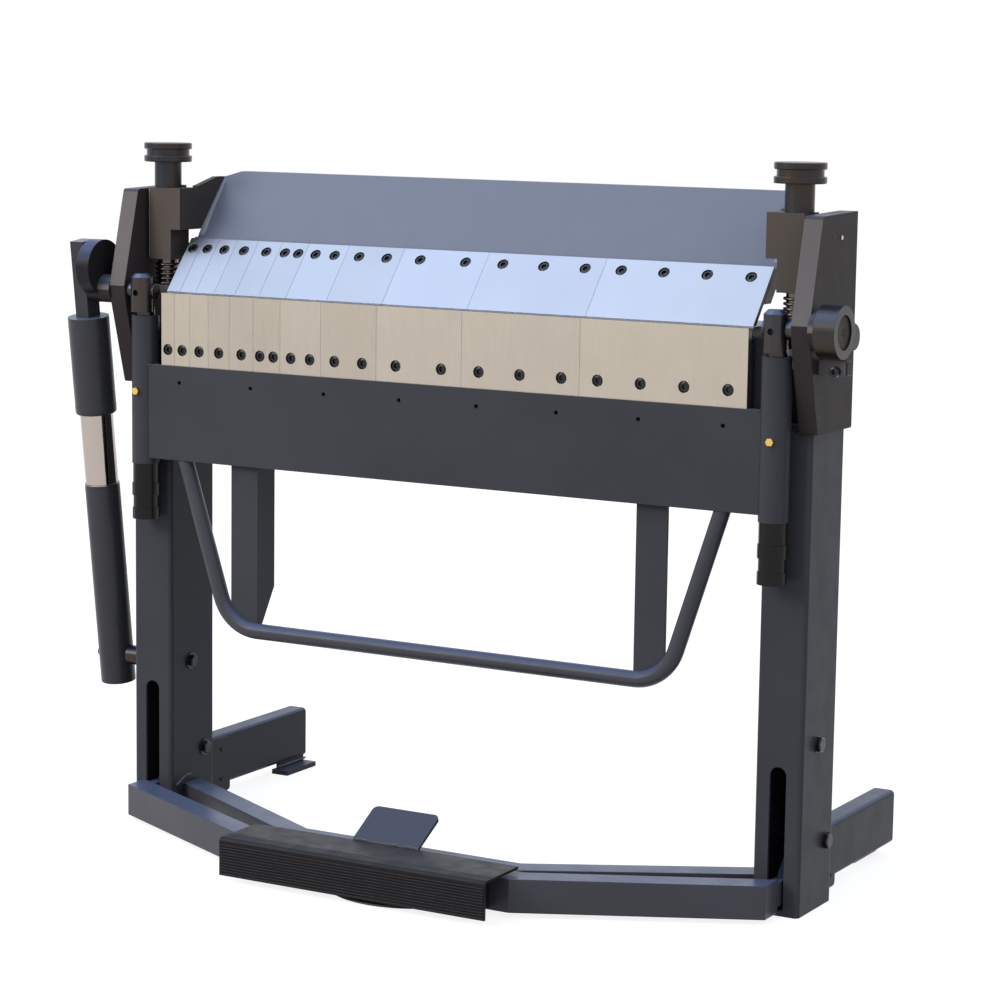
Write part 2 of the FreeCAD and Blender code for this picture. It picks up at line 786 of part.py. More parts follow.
save("bed_blades", bedBlades())
save("upper_blades", upperBlades())
save("folding_blades", foldBlades())
save("bed_beam", bedBeam())
save("upper_beam", upperBeam())
save("apron", apron())
save("handle_bar", handleBar())
save("cross_tube", crossTubeBody())
save("floor_disc", floorDisc())
save("treadle_frame", treadle())
save("step", step())
save("tongue", tongue())
save("crank", crank())
save("stop_collar", stopCollar())
save("stop_block", stopBlock())
save("balance_lower", balanceLower())
save("balance_upper", balanceUpper())
save("balance_pin", balancePin())
save("right_pivot_pin", pivotPin(shaftEnd))
save("left_pivot_pin", mirrored(pivotPin(crankOuter)))
save("right_boss_ring", bossRing(bossLength, bossR))
save("left_boss_ring", mirrored(bossRing(crankInner - sideInner - sideThick - 0.3, leftBossR)))
saveBoth("end_tube", endTube())
saveBoth("adjusting_nuts", adjustingNuts())
saveBoth("strut", strut())
saveBoth("side_plate", sidePlate())
saveBoth("side_nut", sideNut())
saveBoth("leg", leg())
saveBoth("treadle_pin", treadlePin())
saveBoth("rear_foot", rearFoot())
saveBoth("end_block", endBlock())
saveBoth("knob", knob())
saveBoth("spring_seat", springSeat())
saveBoth("spring", spring())
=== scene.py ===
import math
import random

import bmesh
import bpy
from mathutils import Euler, Matrix, Vector


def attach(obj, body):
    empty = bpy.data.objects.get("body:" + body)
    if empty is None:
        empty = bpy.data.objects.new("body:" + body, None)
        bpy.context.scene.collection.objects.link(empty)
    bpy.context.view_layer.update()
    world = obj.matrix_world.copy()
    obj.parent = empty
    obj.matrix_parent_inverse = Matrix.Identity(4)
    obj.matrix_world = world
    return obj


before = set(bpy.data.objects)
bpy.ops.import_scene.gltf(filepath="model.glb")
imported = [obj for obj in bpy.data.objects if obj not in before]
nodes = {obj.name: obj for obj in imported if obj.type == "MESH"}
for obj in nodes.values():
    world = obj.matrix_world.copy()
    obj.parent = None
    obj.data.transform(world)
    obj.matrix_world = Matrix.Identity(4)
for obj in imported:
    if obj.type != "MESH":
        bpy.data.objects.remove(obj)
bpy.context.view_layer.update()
print("frame loaded:", len(nodes), "nodes")

# Places are written in millimetres from the middle of the bend line, dropped to the floor.
drawing = {"right": 0.025, "back": -0.092}  # metres from the drawing's origin to the frame's


def spot(x, y, z):
    return Vector((x / 1000 + drawing["right"], y / 1000 + drawing["back"], z / 1000))


# Materials

# in the looks below, "up" is a painted sky highlight on upper faces
paintLook = {
    # "side" is a painted shade on faces to the left and right
    "slatePaint": {"colour": (0.064, 0.065, 0.077), "rough": 0.34, "gloss": 0.08, "grain": 900.0, "cloud": 5.0,
                   "up": (0.100, 0.120, 0.190), "side": (0.045, 0.047, 0.058)},
    "tubePaint": {"colour": (0.068, 0.068, 0.083), "rough": 0.30, "gloss": 0.20, "grain": 900.0, "cloud": 5.0,
                  "up": (0.085, 0.110, 0.200), "edge": 3.0},
    "beamPaint": {"colour": (0.060, 0.060, 0.068), "rough": 0.36, "gloss": 0.30, "grain": 900.0, "cloud": 4.0,
                  "up": (0.200, 0.226, 0.318), "side": (0.010, 0.008, 0.011)},
    # "front" in the two looks below is a painted light on faces that look forward and a little up
    "platePaint": {"colour": (0.046, 0.038, 0.040), "rough": 0.38, "gloss": 0.05, "grain": 1100.0, "cloud": 7.0,
                   "front": (0.215, 0.195, 0.200), "up": (0.085, 0.095, 0.140)},
    "blockPaint": {"colour": (0.055, 0.047, 0.045), "rough": 0.38, "gloss": 0.06, "grain": 1100.0, "cloud": 7.0,
                   "front": (0.120, 0.098, 0.086), "up": (0.085, 0.090, 0.120)},
    "crankPaint": {"colour": (0.020, 0.019, 0.021), "rough": 0.28, "gloss": 0.10, "grain": 1300.0, "cloud": 9.0,
                   "up": (0.070, 0.095, 0.190)},
    "sleevePaint": {"colour": (0.054, 0.054, 0.062), "rough": 0.30, "gloss": 0.16, "grain": 1300.0, "cloud": 9.0,
                    "up": (0.120, 0.150, 0.235)},
    "weldPaint": {"colour": (0.150, 0.160, 0.190), "rough": 0.40, "gloss": 0.20, "grain": 700.0, "cloud": 40.0},
    # pale blue fillet colour: a painted sky reflection on the ground-back fillets
    "filletPaintSkySheen": {"colour": (0.300, 0.320, 0.400), "rough": 0.38, "gloss": 0.25, "grain": 700.0, "cloud": 40.0},
}
# "up" here is a painted sky highlight on upper faces
oxideLook = {
    "blackOxide": {"colour": (0.055, 0.046, 0.045), "up": (0.095, 0.135, 0.250), "rough": 0.30, "bloom": 0.22,
                   "stretch": (1.0, 1.0, 0.08)},
    "knobOxide": {"colour": (0.040, 0.034, 0.033), "up": (0.062, 0.070, 0.105), "rough": 0.30, "bloom": 0.24,
                  "stretch": (1.0, 1.0, 0.08)},
    # near-black discs set in the foot's bolt holes: painted shade inside the holes
    "holeShade": {"colour": (0.008, 0.008, 0.009), "up": (0.008, 0.008, 0.009), "rough": 0.60, "bloom": 0.05,
                  "stretch": (1.0, 1.0, 1.0)},
    "nutOxide": {"colour": (0.015, 0.014, 0.014), "up": (0.045, 0.052, 0.080), "rough": 0.28, "bloom": 0.10,
                 "stretch": (1.0, 1.0, 0.04)},
    "screwOxide": {"colour": (0.030, 0.030, 0.034), "up": (0.045, 0.050, 0.065), "rough": 0.24, "bloom": 0.05,
                   "stretch": (1.0, 1.0, 1.0)},
    "shaftSteel": {"colour": (0.030, 0.021, 0.019), "up": (0.030, 0.021, 0.019), "rough": 0.55, "bloom": 0.15,
                   "stretch": (0.05, 1.0, 1.0)},
}
steelLook = {
    # painted reflections in the blade colours: the upper and bed blades are tinted blue for the sky they mirror,
    # the folding blades warm for the ground in front; "side" darkens the blade ends as painted shade
    "bladeFront": {"colour": (0.430, 0.382, 0.328), "rough": 0.40, "stretch": (1.0, 1.0, 0.02)},
    "bladeTop": {"colour": (0.358, 0.400, 0.503), "rough": 0.36, "stretch": (1.0, 0.02, 0.02),
                 "side": (0.018, 0.013, 0.017)},
    "chrome": {"colour": (0.41, 0.355, 0.32), "rough": 0.08, "stretch": (1.0, 1.0, 0.05)},
    "springWire": {"colour": (0.115, 0.10, 0.09), "rough": 0.24, "stretch": (1.0, 1.0, 1.0)},
    "brass": {"colour": (0.72, 0.46, 0.14), "rough": 0.32, "stretch": (1.0, 1.0, 0.3)},
    "gibBrass": {"colour": (0.44, 0.37, 0.25), "rough": 0.40, "stretch": (1.0, 1.0, 0.3)},
    "pinRimSteel": {"colour": (0.13, 0.125, 0.13), "rough": 0.22, "stretch": (1.0, 1.0, 0.3)},
    "brightSteel": {"colour": (0.66, 0.64, 0.61), "rough": 0.22, "stretch": (1.0, 1.0, 0.3)},
}
# "up" is a painted sky highlight on the tread's top
rubberLook = {
    "colour": (0.0135, 0.0095, 0.0095), "up": (0.020, 0.024, 0.036), "rough": 0.40, "gloss": 0.14, "grain": 1500.0,
}


class NodeDesk:
    # Small helper that adds shader nodes and wires them.
    def __init__(self, name):
        self.material = bpy.data.materials.new(name)
        self.material.use_nodes = True
        self.tree = self.material.node_tree
        self.shader = self.tree.nodes["Principled BSDF"]
        self.coord = self.tree.nodes.new("ShaderNodeTexCoord")

    def add(self, kind, **values):
        node = self.tree.nodes.new(kind)
        for key, value in values.items():
            setattr(node, key, value)
        return node

    def wire(self, source, target):
        self.tree.links.new(source, target)

    def noise(self, scale, detail=3.0, stretch=None):
        node = self.add("ShaderNodeTexNoise")
        node.inputs["Scale"].default_value = scale
        node.inputs["Detail"].default_value = detail
        if stretch:
            mapping = self.add("ShaderNodeMapping")
            mapping.inputs["Scale"].default_value = stretch
            self.wire(self.coord.outputs["Object"], mapping.inputs["Vector"])
            self.wire(mapping.outputs["Vector"], node.inputs["Vector"])
        else:
            self.wire(self.coord.outputs["Object"], node.inputs["Vector"])
        return node.outputs["Fac"]

    def spread(self, source, low, high, fromLow=0.3, fromHigh=0.7):
        node = self.add("ShaderNodeMapRange")
        node.inputs["From Min"].default_value = fromLow
        node.inputs["From Max"].default_value = fromHigh
        node.inputs["To Min"].default_value = low
        node.inputs["To Max"].default_value = high
        self.wire(source, node.inputs["Value"])
        return node.outputs["Result"]

    def shade(self, factor, colour, low, high):
        # the colour times a factor that runs from low to high
        mix = self.add("ShaderNodeMix", data_type="RGBA")
        mix.inputs["A"].default_value = tuple(c * low for c in colour) + (1.0,)
        mix.inputs["B"].default_value = tuple(min(1.0, c * high) for c in colour) + (1.0,)
        self.wire(factor, mix.inputs["Factor"])
        return mix.outputs["Result"]

    def bump(self, height, strength, distance, normal=None):
        node = self.add("ShaderNodeBump")
        node.inputs["Strength"].default_value = strength
        node.inputs["Distance"].default_value = distance
        self.wire(height, node.inputs["Height"])
        if normal:
            self.wire(normal, node.inputs["Normal"])
        return node.outputs["Normal"]

    def softEdge(self, radius):
        # radius in millimetres
        node = self.add("ShaderNodeBevel", samples=4)
        node.inputs["Radius"].default_value = radius / 1000
        return node.outputs["Normal"]

    def combine(self, operation, first, second):
        node = self.add("ShaderNodeMath", operation=operation)
        self.wire(first, node.inputs[0])
        self.wire(second, node.inputs[1])
        return node.outputs[0]

    def facing(self, axis):
        split = self.add("ShaderNodeSeparateXYZ")
        self.wire(self.coord.outputs["Normal"], split.inputs[0])
        return split.outputs[axis]

    def tint(self, colour, tone, share):
        # mixes a tone in by a share from 0 to 1
        mix = self.add("ShaderNodeMix", data_type="RGBA")
        mix.inputs["B"].default_value = tone + (1.0,)
        self.wire(colour, mix.inputs["A"])
        self.wire(share, mix.inputs["Factor"])
        return mix.outputs["Result"]

    def dress(self, colour, unevenness, rough, swing, normal):
        # wires the finished colour, roughness and normal into the shader
        low, high = swing
        self.wire(colour, self.shader.inputs["Base Color"])
        self.wire(self.spread(unevenness, rough + low, rough + high), self.shader.inputs["Roughness"])
        self.wire(normal, self.shader.inputs["Normal"])
        return self.material


# how far a surface has to face along an axis for a painted light or shade tone to start and to be full
toneLimits = {"front": (-0.985, -0.90), "rising": (-0.06, 0.0), "up": (0.22, 0.72), "side": (0.80, 0.92)}


def paintedFrontLight(desk, colour, tone, strength):
    # painted light from the front and above: the sawn edges that face the front and a little up are mixed towards a
    # paler tone
    forward = desk.spread(desk.facing("Y"), 1.0, 0.0, *toneLimits["front"])
    rising = desk.spread(desk.facing("Z"), 0.0, 1.0, *toneLimits["rising"])
    both = desk.combine("MULTIPLY", forward, rising)
    return desk.tint(colour, tone, desk.combine("MULTIPLY", both, strength))


def paintedSkySheen(desk, colour, tone):
    # painted highlight: upper faces are mixed towards a paler, cooler tone, the light from above painted into the
    # colour
    return desk.tint(colour, tone, desk.spread(desk.facing("Z"), 0.0, 1.0, *toneLimits["up"]))


def paintedSideShade(desk, colour, tone):
    # painted shade: faces to the left and right are darker
    size = desk.add("ShaderNodeMath", operation="ABSOLUTE")
    desk.wire(desk.facing("X"), size.inputs[0])
    return desk.tint(colour, tone, desk.spread(size.outputs[0], 0.0, 1.0, *toneLimits["side"]))


paintGrain = {
    "cloudDetail": 4.0, "fleckScale": 0.35, "fleckDetail": 2.0, "fleck": 0.08, "shade": (0.90, 1.10),
    "frontStrength": (0.75, 1.0), "patch": 28.0, "patchDetail": 4.0, "roughSwing": (-0.05, 0.07),
    "peel": 0.16, "peelDepth": 0.0002, "edge": 1.1,
}


def makePaint(name, look):
    desk = NodeDesk(name)
    grain = paintGrain
    cloud = desk.noise(look["cloud"], grain["cloudDetail"])
    fleck = desk.noise(look["grain"] * grain["fleckScale"], grain["fleckDetail"])
    both = desk.combine("ADD", cloud, desk.spread(fleck, -grain["fleck"], grain["fleck"]))
    colour = desk.shade(desk.spread(both, 0.0, 1.0), look["colour"], *grain["shade"])
    # painted light and shade, by the way each face points
    if "up" in look:
        colour = paintedSkySheen(desk, colour, look["up"])
    if "front" in look:
        colour = paintedFrontLight(desk, colour, look["front"], desk.spread(cloud, *grain["frontStrength"]))
    if "side" in look:
        colour = paintedSideShade(desk, colour, look["side"])
    desk.shader.inputs["Specular IOR Level"].default_value = look["gloss"]
    edge = desk.softEdge(look.get("edge", grain["edge"]))
    peel = desk.bump(desk.noise(look["grain"], grain["fleckDetail"]), grain["peel"], grain["peelDepth"], edge)
    patch = desk.noise(grain["patch"], grain["patchDetail"])
    return desk.dress(colour, patch, look["rough"], grain["roughSwing"], peel)


steelGrain = {
    "streak": 1400.0, "streakDetail": 3.0, "streakShare": 0.28, "patch": 9.0, "patchDetail": 4.0,
    "patchShare": (0.3, 0.7), "shade": (0.93, 1.06), "roughSwing": (-0.05, 0.07), "line": 0.10,
    "lineDepth": 0.0001, "edge": 0.5,
}


def makeSteel(name, look, stepping):
    desk = NodeDesk(name)
    grain = steelGrain
    desk.shader.inputs["Metallic"].default_value = 1.0
    streak = desk.noise(grain["streak"], grain["streakDetail"], look["stretch"])
    patch = desk.noise(grain["patch"], grain["patchDetail"])
    share = grain["streakShare"]
    both = desk.combine("ADD", desk.spread(streak, -share, share), desk.spread(patch, *grain["patchShare"]))
    colour = desk.shade(both, look["colour"], *grain["shade"])
    if stepping:
        colour = segmentTone(desk, colour)
    if "side" in look:
        colour = paintedSideShade(desk, colour, look["side"])
    line = desk.bump(streak, grain["line"], grain["lineDepth"], desk.softEdge(grain["edge"]))
    return desk.dress(colour, streak, look["rough"], grain["roughSwing"], line)


bladeWidths = [25, 30, 35, 40, 45, 50, 75, 100, 150, 200, 270]
bladeTone = {"seed": 7, "tone": (0.90, 1.0), "blue": (0.985, 1.01)}


def segmentTone(desk, colour):
    # each blade of the set is a slightly different tone
    total = sum(bladeWidths)
    half = total / 2000
    split = desk.add("ShaderNodeSeparateXYZ")
    desk.wire(desk.coord.outputs["Object"], split.inputs[0])
    along = desk.spread(split.outputs["X"], 0.0, 1.0, drawing["right"] - half, drawing["right"] + half)
    ramp = desk.add("ShaderNodeValToRGB")
    ramp.color_ramp.interpolation = "CONSTANT"
    stops = ramp.color_ramp.elements
    while len(stops) > 1:
        stops.remove(stops[-1])
    dice = random.Random(bladeTone["seed"])
    edge = 0.0
    for index, width in enumerate(bladeWidths):
        tone = dice.uniform(*bladeTone["tone"])
        stop = stops[0] if index == 0 else stops.new(edge / total)
        stop.position = edge / total
        stop.color = (tone, tone, tone * dice.uniform(*bladeTone["blue"]), 1.0)
        edge += width
    desk.wire(along, ramp.inputs["Fac"])
    mix = desk.add("ShaderNodeMix", data_type="RGBA", blend_type="MULTIPLY")
    mix.inputs["Factor"].default_value = 1.0
    desk.wire(colour, mix.inputs["A"])
    desk.wire(ramp.outputs["Color"], mix.inputs["B"])
    return mix.outputs["Result"]


oxideGrain = {
    "metal": 0.85, "bloom": 16.0, "bloomDetail": 3.0, "bloomEdges": (0.36, 0.64), "ring": 1200.0, "ringDetail": 2.0,
    "roughSwing": (-0.06, 0.08), "line": 0.12, "lineDepth": 0.0001, "edge": 0.6,
}


def makeOxide(name, look):
    # blackened steel with a faint brown and blue bloom
    desk = NodeDesk(name)
    grain = oxideGrain
    desk.shader.inputs["Metallic"].default_value = grain["metal"]
    bloom = desk.noise(grain["bloom"], grain["bloomDetail"])
    ramp = desk.add("ShaderNodeValToRGB")
    red, green, blue = look["colour"]
    shifts = (look["bloom"], -look["bloom"])
    for stop, place, shift in zip(ramp.color_ramp.elements, grain["bloomEdges"], shifts):
        stop.position = place
        stop.color = (red * (1 + shift), green, blue * (1 - shift), 1.0)
    desk.wire(bloom, ramp.inputs["Fac"])
    # painted sky highlight on upper faces
    colour = paintedSkySheen(desk, ramp.outputs["Color"], look["up"])
    ring = desk.noise(grain["ring"], grain["ringDetail"], look["stretch"])
    line = desk.bump(ring, grain["line"], grain["lineDepth"], desk.softEdge(grain["edge"]))
    return desk.dress(colour, ring, look["rough"], grain["roughSwing"], line)


rubberGrain = {
    "dust": 40.0, "dustDetail": 5.0, "shade": (0.8, 1.35), "roughSwing": (-0.06, 0.10), "pebble": 0.25,
    "pebbleDetail": 2.0, "pebbleDepth": 0.0002,
}


def makeRubber(name, look):
    desk = NodeDesk(name)
    grain = rubberGrain
    desk.shader.inputs["Specular IOR Level"].default_value = look["gloss"]
    dust = desk.noise(grain["dust"], grain["dustDetail"])
    colour = desk.shade(desk.spread(dust, 0.0, 1.0), look["colour"], *grain["shade"])
    # painted sky highlight on the tread's top
    colour = paintedSkySheen(desk, colour, look["up"])
    pebble = desk.noise(look["grain"], grain["pebbleDetail"])
    bumps = desk.bump(pebble, grain["pebble"], grain["pebbleDepth"])
    return desk.dress(colour, dust, look["rough"], grain["roughSwing"], bumps)


finish = {}
for title, look in paintLook.items():
    finish[title] = makePaint(title, look)
for title, look in steelLook.items():
    finish[title] = makeSteel(title, look, title.startswith("blade"))
for title, look in oxideLook.items():
    finish[title] = makeOxide(title, look)
finish["treadRubber"] = makeRubber("treadRubber", rubberLook)


def pair(name):
    return ["left_" + name, "right_" + name]


wearing = {
    "slatePaint": pair("leg") + pair("rear_foot") + pair("strut") + pair("end_tube") + ["apron", "bed_beam"],
    "tubePaint": ["cross_tube", "treadle_frame", "handle_bar"],
    "beamPaint": ["upper_beam"],
    "platePaint": pair("side_plate") + pair("boss_ring") + pair("spring_seat")
    + ["stop_block", "floor_disc", "tongue"],
    "blockPaint": pair("end_block"),
    "crankPaint": ["crank"],
    "bladeTop": ["upper_blades", "bed_blades"],
    "bladeFront": ["folding_blades"],
    "blackOxide": pair("pivot_pin"),
    "knobOxide": pair("knob") + pair("treadle_pin") + ["balance_pin", "stop_collar"],
    "nutOxide": pair("adjusting_nuts") + pair("side_nut"),
    "springWire": pair("spring"),
    "treadRubber": ["step"],
    "chrome": ["balance_lower"],
    "sleevePaint": ["balance_upper"],
}
for title, names in wearing.items():
    for name in names:
        data = nodes[name].data
        data.materials.clear()
        data.materials.append(finish[title])
print("finishes on all nodes:", sum(len(names) for names in wearing.values()))


# Geometry Nodes: fasteners, ribs and weld beads

fullTurn = 6.283  # radians


class TreeDesk:
    # Small helper for a geometry tree with named inputs: its sizes, a seed and a material.
    def __init__(self, name, sizes, seed):
        self.tree = bpy.data.node_groups.new(name, "GeometryNodeTree")
        self.tree.interface.new_socket(name="Geometry", in_out="OUTPUT", socket_type="NodeSocketGeometry")
        self.ask("Geometry", "Geometry")
        for title, value in sizes.items():
            self.ask(title, "Float", value)
        self.ask("Seed", "Int", seed)
        self.ask("Material", "Material")
        self.inside = self.tree.nodes.new("NodeGroupInput")
        self.outside = self.tree.nodes.new("NodeGroupOutput")

    def ask(self, name, kind, value=None):
        socket = self.tree.interface.new_socket(name=name, in_out="INPUT", socket_type="NodeSocket" + kind)
        if value is not None:
            socket.default_value = value

    def add(self, kind, **values):
        node = self.tree.nodes.new(kind)
        for key, value in values.items():
            setattr(node, key, value)
        return node

    def wire(self, source, target):
        self.tree.links.new(source, target)

    def feed(self, value, target):
        # a plain number sets the socket, anything else is wired to it
        if isinstance(value, (int, float)):
            target.default_value = value
        else:
            self.wire(value, target)

    def get(self, name):
        return self.inside.outputs[name]

    def math(self, operation, a, b):
        node = self.add("ShaderNodeMath", operation=operation)
        self.feed(a, node.inputs[0])
        self.feed(b, node.inputs[1])
        return node.outputs[0]

    def vector(self, x, y, z):
        node = self.add("ShaderNodeCombineXYZ")
        for index, value in enumerate((x, y, z)):
            self.feed(value, node.inputs[index])
        return node.outputs[0]

    def lift(self, geometry, height):
        # moves geometry up its own axis by a socket's value
        move = self.add("GeometryNodeTransform")
        self.wire(geometry, move.inputs["Geometry"])
        self.wire(self.vector(0.0, 0.0, height), move.inputs["Translation"])
        return move.outputs["Geometry"]

    def drum(self, radius, depth, sides):
        node = self.add("GeometryNodeMeshCylinder", fill_type="NGON")
        node.inputs["Vertices"].default_value = sides
        self.wire(radius, node.inputs["Radius"])
        self.wire(depth, node.inputs["Depth"])
        return node.outputs["Mesh"]

    def cone(self, bottom, top, depth, sides):
        node = self.add("GeometryNodeMeshCone", fill_type="NGON")
        node.inputs["Vertices"].default_value = sides
        self.wire(bottom, node.inputs["Radius Bottom"])
        self.wire(top, node.inputs["Radius Top"])
        self.wire(depth, node.inputs["Depth"])
        return node.outputs["Mesh"]

    def carve(self, whole, cut):
        node = self.add("GeometryNodeMeshBoolean", operation="DIFFERENCE")
        self.wire(whole, node.inputs["Mesh 1"])
        self.wire(cut, node.inputs["Mesh 2"])
        return node.outputs["Mesh"]

    def join(self, *parts):
        node = self.add("GeometryNodeJoinGeometry")
        for part in parts:
            self.wire(part, node.inputs["Geometry"])
        return node.outputs["Geometry"]

    def plant(self, thing):
        # one copy on each point, its axis along the point's own direction
        aim = self.add("GeometryNodeInputNamedAttribute", data_type="FLOAT_VECTOR")
        aim.inputs["Name"].default_value = "aim"
        turn = self.add("FunctionNodeAlignRotationToVector", axis="Z")
        self.wire(aim.outputs["Attribute"], turn.inputs["Vector"])
        twist = self.add("FunctionNodeRandomValue", data_type="FLOAT")
        twist.inputs["Min"].default_value = 0.0
        twist.inputs["Max"].default_value = fullTurn
        self.wire(self.get("Seed"), twist.inputs["Seed"])
        spin = self.add("FunctionNodeAxisAngleToRotation")
        spin.inputs["Axis"].default_value = (0.0, 0.0, 1.0)
        self.wire(twist.outputs["Value"], spin.inputs["Angle"])
        both = self.add("FunctionNodeRotateRotation", rotation_space="LOCAL")
        self.wire(turn.outputs["Rotation"], both.inputs["Rotation"])
        self.wire(spin.outputs["Rotation"], both.inputs["Rotate By"])
        copies = self.add("GeometryNodeInstanceOnPoints")
        self.wire(self.get("Geometry"), copies.inputs["Points"])
        self.wire(thing, copies.inputs["Instance"])
        self.wire(both.outputs["Rotation"], copies.inputs["Rotation"])
        return copies.outputs["Instances"]

    def close(self, geometry):
        real = self.add("GeometryNodeRealizeInstances")
        self.wire(geometry, real.inputs["Geometry"])
        dress = self.add("GeometryNodeSetMaterial")
        self.wire(real.outputs["Geometry"], dress.inputs["Geometry"])
        self.wire(self.get("Material"), dress.inputs["Material"])
        self.wire(dress.outputs["Geometry"], self.outside.inputs["Geometry"])
        return self.tree


socketShape = {"sides": 28, "keySides": 6, "rimWidth": 0.84, "rimRise": 0.1}  # rim as shares of the radius


def socketScrewTree(look):
    desk = TreeDesk("socketScrew", {"Radius": 0.008, "Height": 0.006, "Key": 0.0045, "Key depth": 0.004}, 3)
    radius, height = desk.get("Radius"), desk.get("Height")
    head = desk.lift(desk.drum(radius, height, look["sides"]), desk.math("MULTIPLY", height, 0.5))
    rimRise = desk.math("MULTIPLY", radius, look["rimRise"])
    rim = desk.cone(radius, desk.math("MULTIPLY", radius, look["rimWidth"]), rimRise, look["sides"])
    whole = desk.add("GeometryNodeMeshBoolean", operation="UNION")
    desk.wire(head, whole.inputs["Mesh 2"])
    desk.wire(desk.lift(rim, height), whole.inputs["Mesh 2"])
    deep = desk.math("MULTIPLY", desk.get("Key depth"), 2.0)  # half of it stands above the head
    well = desk.lift(desk.drum(desk.get("Key"), deep, look["keySides"]), desk.math("ADD", height, rimRise))
    return desk.close(desk.plant(desk.carve(whole.outputs["Mesh"], well)))


hexShape = {"sides": 6, "washerSides": 32, "straight": 0.78, "crownRise": 0.22, "crownWidth": 0.84}


def hexBoltTree(look):
    desk = TreeDesk("hexBolt", {"Radius": 0.009, "Height": 0.006, "Washer": 0.011, "Washer height": 0.0015}, 5)
    radius, height, thick = desk.get("Radius"), desk.get("Height"), desk.get("Washer height")
    disc = desk.drum(desk.get("Washer"), thick, look["washerSides"])
    washer = desk.lift(disc, desk.math("MULTIPLY", thick, 0.5))
    straight = desk.math("MULTIPLY", height, look["straight"])
    prism = desk.drum(radius, straight, look["sides"])
    foot = desk.math("ADD", desk.math("MULTIPLY", straight, 0.5), thick)
    crown = desk.cone(radius, desk.math("MULTIPLY", radius, look["crownWidth"]),
                      desk.math("MULTIPLY", height, look["crownRise"]), look["sides"])
    shoulder = desk.math("ADD", straight, thick)
    bolt = desk.join(washer, desk.lift(prism, foot), desk.lift(crown, shoulder))
    return desk.close(desk.plant(bolt))


ribSides = 10


def ribTree(sides):
    desk = TreeDesk("treadRib", {"Radius": 0.0012, "Length": 0.456, "Flatten": 0.6}, 1)
    rod = desk.drum(desk.get("Radius"), desk.get("Length"), sides)
    copies = desk.add("GeometryNodeInstanceOnPoints")
    desk.wire(desk.get("Geometry"), copies.inputs["Points"])
    desk.wire(rod, copies.inputs["Instance"])
    copies.inputs["Rotation"].default_value = (0.0, math.pi / 2, 0.0)
    desk.wire(desk.vector(1.0, desk.get("Flatten"), 1.0), copies.inputs["Scale"])
    return desk.close(copies.outputs["Instances"])


beadShape = {"least": (0.75, 0.75, 0.6), "most": (1.1, 1.1, 0.95), "tilt": (0.5, 0.5, 6.0)}


def weldTree(look):
    desk = TreeDesk("weldBead", {"Width": 0.003, "Pitch": 0.0016, "Rise": 0.7}, 11)
    line = desk.add("GeometryNodeMeshToCurve")
    desk.wire(desk.get("Geometry"), line.inputs["Mesh"])
    steps = desk.add("GeometryNodeResampleCurve", mode="LENGTH")
    desk.wire(line.outputs["Curve"], steps.inputs["Curve"])
    desk.wire(desk.get("Pitch"), steps.inputs["Length"])
    blob = desk.add("GeometryNodeMeshIcoSphere")
    blob.inputs["Subdivisions"].default_value = 1
    desk.wire(desk.get("Width"), blob.inputs["Radius"])
    copies = desk.add("GeometryNodeInstanceOnPoints")
    desk.wire(steps.outputs["Curve"], copies.inputs["Points"])
    desk.wire(blob.outputs["Mesh"], copies.inputs["Instance"])
    size = desk.add("FunctionNodeRandomValue", data_type="FLOAT_VECTOR")
    size.inputs["Min"].default_value = look["least"]
    size.inputs["Max"].default_value = look["most"]
    desk.wire(desk.get("Seed"), size.inputs["Seed"])
    scale = desk.add("ShaderNodeVectorMath", operation="MULTIPLY")
    desk.wire(size.outputs[0], scale.inputs[0])
    desk.wire(desk.vector(1.0, 1.0, desk.get("Rise")), scale.inputs[1])
    desk.wire(scale.outputs[0], copies.inputs["Scale"])
    turn = desk.add("FunctionNodeRandomValue", data_type="FLOAT_VECTOR")
    turn.inputs["Max"].default_value = look["tilt"]
    desk.wire(turn.outputs[0], copies.inputs["Rotation"])
    return desk.close(copies.outputs["Instances"])


trees = {
    "socket": socketScrewTree(socketShape), "hex": hexBoltTree(hexShape), "rib": ribTree(ribSides),
    "weld": weldTree(beadShape),
}


def setInput(modifier, tree, name, value):
    for item in tree.interface.items_tree:
        if item.item_type == "SOCKET" and item.in_out == "INPUT" and item.name == name:
            modifier[item.identifier] = value


def smoothEdges(data, angle=0.6):
    data.polygons.foreach_set("use_smooth", [True] * len(data.polygons))
    data.set_sharp_from_angle(angle=angle)


def settle(name, data, body):
    # puts a finished mesh in the scene and on its body
    piece = bpy.data.objects.new(name, data)
    bpy.context.scene.collection.objects.link(piece)
    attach(piece, body)


def treeInputs(sizes, title, **shares):
    # sizes go from millimetres to metres, shares stay as they are
    values = {name: size / 1000 for name, size in sizes.items()}
    return dict(values, Material=finish[title], **shares)


def grow(name, points, tree, values, body, lines=None):
    # runs a tree over a set of points or lines and keeps the plain mesh
    seed = bpy.data.meshes.new(name + "Points")
    seed.from_pydata([p for p, aim in points], lines or [], [])
    aims = seed.attributes.new("aim", "FLOAT_VECTOR", "POINT")
    for index, (p, aim) in enumerate(points):
        aims.data[index].vector = aim
    holder = bpy.data.objects.new(name + "Points", seed)
    bpy.context.scene.collection.objects.link(holder)
    modifier = holder.modifiers.new("grow", "NODES")
    modifier.node_group = tree
    for key, value in values.items():
        setInput(modifier, tree, key, value)
    bpy.context.view_layer.update()
    graph = bpy.context.evaluated_depsgraph_get()
    data = bpy.data.meshes.new_from_object(holder.evaluated_get(graph), depsgraph=graph)
    holder.modifiers.clear()
    bpy.data.objects.remove(holder)
    data.name = name
    smoothEdges(data)
    settle(name, data, body)


